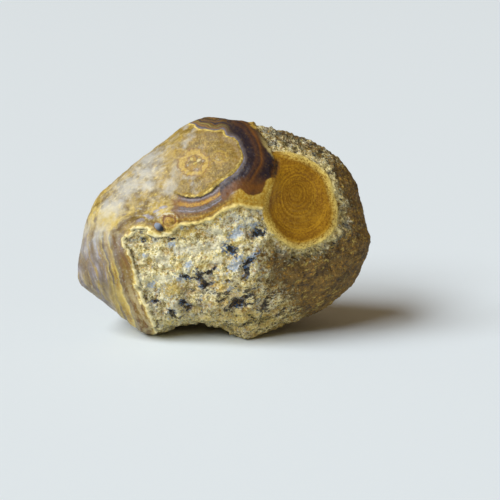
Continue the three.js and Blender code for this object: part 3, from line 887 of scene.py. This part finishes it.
def pocket_finish(n, place, c):
    """The pocket's grains: cream, straw, ochre and blue-grey over dark olive, with painted shade in the
    hollows, painted highlights on the crests, and dark pits.
    """
    right, up = n.values("right", "up")
    fine = n.noise(place, 0.4, 4, 0.8)
    mid = n.noise(place, 1.4, 4, 0.65)
    tone = n.plus(n.times(fine, 0.75), n.times(mid, 0.25))
    grains = n.ramp(tone, {0.37: c.moss, 0.43: c.straw, 0.48: c.cream})
    yellow = n.patches(0.44, 0.56, place, 3, 5, 0.65)
    grains = n.over(grains, c.straw, yellow, n.smooth(0.62, 0.44, fine), 0.75)
    rust = n.patches(0.58, 0.66, place, 2, 5, 0.7)
    grains = n.over(grains, c.ochre, rust, n.smooth(0.62, 0.45, fine), 0.55)
    under_rim = n.times(
        n.smooth(3.4, 0.6, n.value("pocket")), n.smooth(-6, -1, up),
        n.patches(0.42, 0.6, place, 1.1, 4, 0.7),
    )
    grains = n.over(grains, n.mix(n.smooth(0.4, 0.55, mid), c.ochre, c.straw), under_rim, 0.5)
    whitish_patches = n.patches(0.52, 0.6, place, 2.6, 5, 0.65, 0.5)
    chalk = n.mix(n.smooth(0.4, 0.58, fine), c.mist, c.bloom)
    grains = n.over(grains, chalk, whitish_patches, n.smooth(0.36, 0.44, fine), 0.65)
    cells = n.cells(place, 0.8)
    pick = n.add("ShaderNodeSeparateColor", {0: cells.outputs["Color"]}).outputs
    odd = n.ramp(pick[0], {0: c.ink, 0.05: c.mist, 0.1: c.ochre, 0.17: c.umber, 0.22: c.cream}, "CONSTANT")
    grains = n.over(
        grains, odd, n.smooth(0.23, 0.21, pick[0]), n.smooth(0.5, 0.34, cells.outputs["Distance"]), 0.65
    )
    small = n.cells(place, 0.42).outputs["Color"]
    sand = n.add("ShaderNodeSeparateColor", {0: small}).outputs
    bits = {0: c.ink, 0.02: c.moss, 0.1: c.ochre, 0.18: c.straw, 0.3: c.cream, 0.59: c.mist}
    grains = n.over(grains, n.ramp(sand[0], bits, "CONSTANT"), n.smooth(0.62, 0.6, sand[0]), 0.5)
    grains = n.over(grains, c.cream, n.smooth(0.56, 0.66, mid), n.smooth(0.36, 0.44, fine), 0.6)
    grains = n.over(grains, c.moss, n.smooth(0.4, 0.33, mid), n.smooth(0.62, 0.5, fine), 0.5)
    low = n.smooth(-6, -15, n.plus(up, n.wobble(3, 9), n.times(right, -0.15)))
    grey = n.times(low, n.smooth(0.46, 0.6, mid), n.smooth(6, -2, right))
    grains = n.over(grains, n.mix(n.smooth(0.4, 0.5, fine), c.moss, c.mist), grey, 0.35)
    # Dark patches, denser towards the bottom of the pocket.
    low_dark_patches = n.smooth(0.58, 0.65, n.plus(n.noise(place, 1.5, 5, 0.75), n.times(low, 0.04)))
    grains = n.over(grains, c.ink, low_dark_patches, n.smooth(0.62, 0.5, fine), n.fade(0.35, 0.65, low))
    # Painted shade in the hollows and a painted highlight on the crests of the raised grains.
    height = n.value("grain")
    painted_hollow_shade = n.times(n.smooth(-0.3, -1.1, height), n.smooth(0.6, 0.44, fine), 0.65)
    grains = n.mix(painted_hollow_shade, grains, n.mix(n.smooth(0.4, 0.6, mid), c.moss, c.ochre))
    crest = n.times(n.smooth(0.35, 1, height), n.smooth(0.38, 0.5, fine), 0.5)
    grains = n.mix(crest, grains, c.cream)
    # Painted shade in crevices between the grains.
    painted_crevice_shade = n.times(n.patches(0.41, 0.32, place, 0.8, 5, 0.75), 0.75)
    grains = n.mix(painted_crevice_shade, grains, c.moss)
    shades = {
        "pale": n.mix(0.5, c.cream, c.bloom),
        "ochre": n.mix(n.smooth(0.38, 0.52, fine), c.ochre, c.straw),
        "blue": chalk,
    }
    facets = n.plus(n.times(n.minus(pick[1], 0.5), 1), n.times(n.minus(sand[1], 0.5), 1.6))
    for name, strength in (("pale", 0.6), ("ochre", 0.7), ("blue", 0.95)):
        spot = n.smooth(-0.3, 0.3, n.plus(n.value(name), n.wobble(0.9, 1.8), n.times(facets, 0.6)))
        grains = n.over(grains, shades[name], spot, strength)
    dark = n.plus(n.value("dark"), n.wobble(1.1, 2.6), n.times(facets, 0.55))
    grains = n.over(grains, c.azure, n.smooth(-0.8, -0.3, dark), n.smooth(0.6, 0.62, sand[2]), 0.7)
    shadow = n.ramp(sand[2], {0: c.ink, 0.66: c.soil, 0.78: c.azure, 0.86: c.ink}, "CONSTANT")
    grains = n.over(grains, shadow, n.smooth(-0.12, 0.12, dark), 0.95)
    streaks = n.noise(n.stretch(place, ALONG_BASE, 0.35), 1.5, 5, 0.72)
    base = n.times(n.smooth(-8.5, -14, n.plus(up, n.wobble(2.5, 5))), n.smooth(-14, 0, right))
    grains = n.over(
        grains, n.mix(n.smooth(0.42, 0.58, fine), c.ochre, c.straw), base, n.smooth(0.48, 0.58, streaks),
        0.6,
    )
    grains = n.over(
        grains, n.mix(n.smooth(0.5, 0.6, fine), c.ink, c.umber), base, n.smooth(0.49, 0.44, streaks), 0.9
    )
    lip = n.times(n.smooth(-17.5, -20, n.plus(up, n.wobble(1.5, 4))), n.smooth(0.46, 0.56, fine), 0.5)
    return n.mix(lip, grains, c.straw)


def brown_finish(n, place, c):
    """The brown rind: umber with dark hollows, ochre crests and pale flecks, streaked along the base."""
    up = n.value("up")
    fine = n.noise(place, 0.6, 5, 0.72)
    base = n.ramp(fine, {0.34: c.soil, 0.45: c.umber, 0.57: c.umber, 0.65: c.ochre, 0.74: c.straw})
    lie = n.stretch(place, ALONG_BROWN, 0.4)
    base = n.over(base, c.soil, n.patches(0.54, 0.36, lie, 2, 5, 0.65), 0.7)
    rows = n.noise(lie, 0.8, 5, 0.75)
    near = n.math("MAXIMUM", n.smooth(13, 3, n.value("eye")), n.smooth(-8, -16, up))
    base = n.over(base, c.straw, n.smooth(0.55, 0.63, rows), near, 0.6)
    return n.over(base, c.ink, n.smooth(0.45, 0.37, rows), 0.7)


def knob_finish(n, place, c, under):
    """The knob: a brown swirl over a golden foot, and the smooth slate pebble beside it, with painted light on
    its upper left and painted shade on its lower right.
    """
    right, up = n.values("right", "up")
    knob = n.plus(n.value("knob"), n.wobble(0.8, 0.6))
    grain = n.noise(place, 0.6, 4, 0.7)
    foot = n.mix(n.smooth(0.4, 0.62, grain), c.amber, c.straw)
    finish = n.over(
        under, foot, n.smooth(-0.5, -0.05, n.plus(knob, n.times(n.smooth(2, 0.5, up), 0.35))), 0.8
    )
    finish = n.over(
        finish, n.mix(n.smooth(0.42, 0.6, grain), c.umber, c.ochre), n.smooth(0.3, 0.6, knob), 0.7
    )
    swirl = n.times(n.bell(knob, 0.15, 0.17), n.fade(0.35, 1, n.smooth(0.6, 1.7, up)))
    finish = n.mix(swirl, finish, c.chestnut)
    curl = n.times(n.bell(knob, -0.2, 0.16), n.smooth(2.2, 3, up), n.smooth(0.38, 0.56, grain))
    finish = n.over(finish, c.bloom, curl, 0.6)
    pebble = n.value("pebble")
    finish = n.over(finish, c.chestnut, n.bell(pebble, -0.12, 0.2), 0.7)
    # Painted light and shade: the pebble is pale at its upper left and dark ink at its lower right.
    painted_pebble_shade = n.smooth(-15.5, -13.8, n.minus(right, up))
    grey = n.mix(painted_pebble_shade, n.mix(0.45, c.slate, c.mist), c.ink)
    return n.mix(n.smooth(-0.05, 0.12, pebble), finish, grey)


def stone_material(colours):
    """One procedural finish for the whole stone, from the values of its points and Object coordinates."""
    c = SimpleNamespace(**{name: tuple(getattr(colours, name)) for name in AgateColours.__annotations__})
    material = bpy.data.materials.new("agate_stone")
    material.use_nodes = True
    material.node_tree.nodes.clear()
    n = Nodes(material.node_tree)
    place = n.scaled(n.add("ShaderNodeTexCoord").outputs["Object"], 1 / MM)
    n.place = place
    right, front = n.values("right", "front")
    rind = flank_finish(n, place, c, rind_finish(n, place, c))
    rind = plate_finish(n, place, c, rind)
    rind = band_finish(n, place, c, rind)
    rind = crescent_finish(n, place, c, rind)
    rind = knob_finish(n, place, c, rind)
    edge = n.plus(n.value("rough"), n.value("uneven"), n.wobble(0.4, 0.3))
    broken = n.fade(0.6, 1, n.patches(0.25, 0.5, place, 0.9, 4))
    broken = n.times(broken, n.fade(0.15, 1, n.smooth(21.5, 18.5, n.value("up"))))
    broken = n.times(
        broken, n.minus(1, n.times(n.smooth(11, 15, n.value("up")), n.smooth(4, 8, right), 0.6))
    )
    rim = n.times(n.smooth(-0.95, -0.4, edge), n.fade(0.35, 1, front), broken)
    rind = n.mix(
        rim,
        rind,
        n.over(c.gold, c.cream, n.smooth(-0.8, -0.2, edge), n.fade(0.25, 0.8, n.smooth(-6, -14, right))),
    )
    brown = n.smooth(
        0.2, 0.8, n.plus(n.value("brown"), n.wobble(5, 0.7), n.wobble(2.4, 0.8), n.wobble(0.6, 2))
    )
    grains = pocket_finish(n, place, c)
    slope = n.stretch(place, DOWN_RIDGE, 0.4)
    # Dark streaks down the slope right of the ridge, partly painted shade where the surface turns away from
    # the light.
    ridge_streaks_and_shade = n.times(
        n.smooth(-1, 5, n.value("ridge")), front, n.patches(0.61, 0.52, slope, 0.8, 5, 0.75),
        n.smooth(0.6, 2.4, n.value("eye")),
    )
    grains = n.over(
        grains, n.ramp(n.noise(slope, 1.5, 4, 0.7), {0.42: c.ink, 0.5: c.moss, 0.58: c.umber}), ridge_streaks_and_shade, 0.85
    )
    beside_eye = n.times(
        n.bell(n.value("eye"), 0.9, 1.1), n.smooth(14, 20, right),
        n.patches(0.42, 0.56, place, 0.5, 4, 0.7), front,
    )
    grains = n.over(grains, n.mix(0.4, c.straw, c.cream), beside_eye, 0.85)
    specks = n.times(
        n.patches(0.46, 0.39, slope, 0.8, 5, 0.75), n.within(n.value("eye"), 0.9, 4.5, 0.4),
        n.smooth(13, 18, right), front,
    )
    grains = n.over(grains, c.ink, specks, 0.9)
    rough = n.mix(brown, grains, brown_finish(n, place, c))
    # Painted shadow: a dark line just inside the pocket's edge on the left.
    shadow_line = n.times(
        n.bell(edge, 0.5, 0.3), front, n.smooth(-6, -12, right), n.patches(0.4, 0.6, place, 1.5, 3), 0.8
    )
    rough = n.mix(shadow_line, rough, c.soil)
    inside = n.smooth(-0.05, 0.2, n.plus(n.value("pocket"), n.value("uneven"), n.wobble(0.4, 0.3)))
    finish = n.mix(inside, rind, rough)
    finish = eye_finish(n, place, c, finish)
    cleft = n.smooth(-0.15, 0.35, n.plus(n.value("cleft"), n.wobble(1, 0.7)))
    finish = n.over(finish, n.mix(n.patches(0.4, 0.65, place, 0.8, 4), c.night, c.chestnut), cleft, 0.85)
    pits = n.cells(place, 0.6).outputs["Distance"]
    grit = n.plus(
        n.noise(place, 0.45, 4, 0.65), n.times(pits, -0.6), n.times(n.noise(place, 1.1, 3), 1.6),
        n.times(n.cells(place, 1.3).outputs["Distance"], -0.8),
    )
    worn = n.plus(n.noise(place, 0.5, 4, 0.6), n.noise(place, 1.4, 3))
    grit = n.times(grit, inside, n.minus(0.85, n.times(brown, 0.35)))
    fine = n.plus(grit, n.times(worn, n.times(n.minus(1, inside), 0.25)))
    bump = n.add("ShaderNodeBump", {"Strength": 1, "Distance": GRIT_DEPTH * MM, "Height": fine})
    sheen = n.plus(n.times(inside, 0.14), 0.42, n.wobble(2, 0.2))
    shader = n.add(
        "ShaderNodeBsdfPrincipled", {"Base Color": finish, "Roughness": sheen, "Normal": bump.outputs[0]}
    )
    shader.inputs["Specular IOR Level"].default_value = STONE_SHINE
    n.add("ShaderNodeOutputMaterial", {"Surface": shader.outputs[0]})
    return material


# Operators


class AGATE_OT_stone(bpy.types.Operator):
    """Builds the agate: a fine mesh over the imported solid, its relief and its finish"""

    bl_idname = "agate.stone"
    bl_label = "Agate"

    def execute(self, context):
        sizes = context.scene.agate_sizes
        material = stone_material(context.scene.agate_colours)
        body = fine_body(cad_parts[NODE])
        mesh = body.data
        points = np.empty(len(mesh.vertices) * 3)
        mesh.vertices.foreach_get("co", points)
        for name, values in stone_fields(points.reshape(-1, 3)).items():
            mesh.attributes.new(name, "FLOAT", "POINT").data.foreach_set("value", values.astype(np.float32))
        modifier = body.modifiers.new("Stone relief", "NODES")
        modifier.node_group = relief_tree(material)
        for item in modifier.node_group.interface.items_tree:
            if item.in_out == "INPUT" and item.socket_type == "NodeSocketFloat":
                modifier[item.identifier] = float(getattr(sizes, item.name))
        stone = bpy.data.objects.new("agate_stone", finished_mesh(body))
        context.scene.collection.objects.link(stone)
        bpy.data.objects.remove(body)
        settle(stone.data)
        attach(stone, "root")
        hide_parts(NODE)
        return {"FINISHED"}


def fine_body(node):
    """A fine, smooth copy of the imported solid."""
    mesh = node.data.copy()
    work = bmesh.new()
    work.from_mesh(mesh)
    bmesh.ops.remove_doubles(work, verts=work.verts, dist=WELD)
    work.to_mesh(mesh)
    work.free()
    mesh.materials.clear()
    body = bpy.data.objects.new("fine_body", mesh)
    bpy.context.scene.collection.objects.link(body)
    finer = body.modifiers.new("Finer", "SUBSURF")
    finer.levels = finer.render_levels = FINER_LEVELS
    body.data = finished_mesh(body)
    body.modifiers.clear()
    return body


def finished_mesh(body):
    """The evaluated object as a plain mesh."""
    graph = bpy.context.evaluated_depsgraph_get()
    shown = body.evaluated_get(graph)
    return bpy.data.meshes.new_from_object(shown, preserve_all_data_layers=True, depsgraph=graph)


def settle(mesh):
    """Keeps the stone on the surface that it rests on, and shades it smooth."""
    points = np.empty(len(mesh.vertices) * 3)
    mesh.vertices.foreach_get("co", points)
    points = points.reshape(-1, 3)
    points[:, 2] = np.maximum(points[:, 2], 0)
    mesh.vertices.foreach_set("co", points.ravel())
    mesh.polygons.foreach_set("use_smooth", np.ones(len(mesh.polygons), bool))
    mesh.update()


class AGATE_OT_stage(bpy.types.Operator):
    """Sets the camera, the plain pale floor and the soft light"""

    bl_idname = "agate.stage"
    bl_label = "Stage"

    def execute(self, context):
        stage = context.scene.agate_stage
        axes = np.stack([RIGHT, UP, TOWARDS], 1)
        camera = bpy.data.cameras.new("camera")
        camera.lens = stage.lens
        camera.sensor_width = FILM_WIDTH
        camera.clip_start = NEAREST_SEEN
        camera.clip_end = 2 * FLOOR_REACH
        viewer = bpy.data.objects.new("camera", camera)
        turn = Matrix(axes.tolist()).to_4x4()
        viewer.matrix_world = Matrix.Translation((HEART + axes @ VIEWPOINT) * MM) @ turn
        context.scene.collection.objects.link(viewer)
        context.scene.camera = viewer
        floor = bpy.data.meshes.new("floor")
        corners = [(x * FLOOR_REACH, y * FLOOR_REACH, 0) for x, y in ((-1, -1), (1, -1), (1, 1), (-1, 1))]
        floor.from_pydata(corners, [], [(0, 1, 2, 3)])
        paint = bpy.data.materials.new("floor")
        paint.use_nodes = True
        shader = paint.node_tree.nodes["Principled BSDF"]
        shader.inputs["Base Color"].default_value = (*stage.floor, 1)
        shader.inputs["Roughness"].default_value = FLOOR_ROUGHNESS
        floor.materials.append(paint)
        ground = bpy.data.objects.new("floor", floor)
        context.scene.collection.objects.link(ground)
        add_light("window", *WINDOW, stage.window_power, stage.window)
        add_light("front", *FRONT_LIGHT, stage.front_power, stage.window)
        world = bpy.data.worlds.new("room")
        world.use_nodes = True
        room = world.node_tree.nodes["Background"].inputs
        room["Color"].default_value = (*stage.room, 1)
        room["Strength"].default_value = stage.room_strength
        context.scene.world = world
        context.scene.view_settings.view_transform = "Standard"
        return {"FINISHED"}


def add_light(name, place, spread, power, shade):
    """A soft light from far off, spread over some degrees of the sky."""
    light = bpy.data.lights.new(name, "SUN")
    light.angle = math.radians(spread)
    light.energy = power
    light.color = shade
    lamp = bpy.data.objects.new(name, light)
    lamp.location = place
    lamp.rotation_euler = (-Vector(place)).to_track_quat("-Z", "Y").to_euler()
    bpy.context.scene.collection.objects.link(lamp)


class AGATE_PT_panel(bpy.types.Panel):
    """Lists the steps and the values of the agate"""

    bl_idname = "AGATE_PT_panel"
    bl_label = "Raw Desert Agate"
    bl_space_type = "VIEW_3D"
    bl_region_type = "UI"
    bl_category = "Agate"

    def draw(self, context):
        for group in ("agate_sizes", "agate_colours", "agate_stage"):
            box = self.layout.box()
            values = getattr(context.scene, group)
            for name in values.__annotations__:
                box.prop(values, name)
        self.layout.operator(AGATE_OT_stone.bl_idname)
        self.layout.operator(AGATE_OT_stage.bl_idname)


CLASSES = (AgateSizes, AgateColours, AgateStage, AGATE_OT_stone, AGATE_OT_stage, AGATE_PT_panel)


def register():
    for made in CLASSES:
        bpy.utils.register_class(made)
    bpy.types.Scene.agate_sizes = PointerProperty(type=AgateSizes)
    bpy.types.Scene.agate_colours = PointerProperty(type=AgateColours)
    bpy.types.Scene.agate_stage = PointerProperty(type=AgateStage)


def unregister():
    del bpy.types.Scene.agate_sizes, bpy.types.Scene.agate_colours, bpy.types.Scene.agate_stage
    for made in reversed(CLASSES):
        bpy.utils.unregister_class(made)


def main():
    register()
    bpy.ops.agate.stage()
    bpy.ops.agate.stone()


if __name__ == "__main__":
    main()
